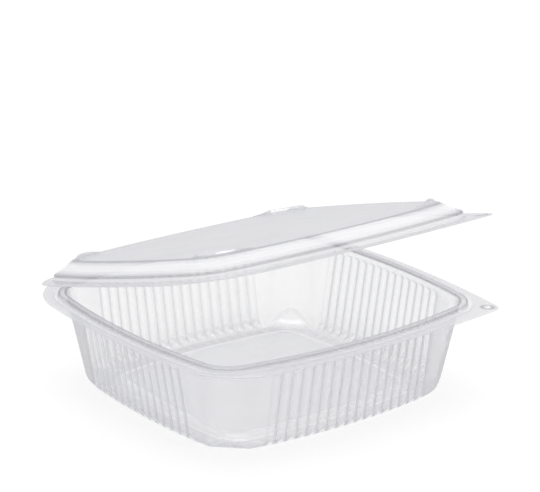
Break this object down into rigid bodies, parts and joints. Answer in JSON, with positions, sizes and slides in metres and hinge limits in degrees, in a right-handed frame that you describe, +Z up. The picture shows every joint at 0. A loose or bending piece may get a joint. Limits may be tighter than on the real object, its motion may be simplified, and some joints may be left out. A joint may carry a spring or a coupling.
{
  "type": "hinged takeaway food container",
  "caption": "Clear fluted food tray with a low domed lid that swings on a fold along the back rim, standing open and empty.",
  "frame": {"origin": "middle of the tray's underside, on the plane it stands on", "axes": "+Z up, +Y towards the fold that carries the lid, +X to the right seen from the front edge that opens"},
  "size_m": [0.193, 0.1879, 0.1041],
  "materials": {
    "tray_sheet": "clear pressed sheet, glossy",
    "lid_sheet": "clear pressed sheet, glossy",
    "fold_film": "clear sheet, creased along the fold"
  },
  "bodies": {
    "tray": {"tray": "tray_sheet", "hinge_fold": "fold_film"},
    "lid": {"lid": "lid_sheet"}
  },
  "joints": [
    {"name": "lid_hinge", "type": "hinge", "parent": "tray", "child": "lid", "pos_m": [0, 0.0941, 0.0484], "axis": [-1, 0, 0], "range_deg": [-15.6, 164.4]}
  ]
}
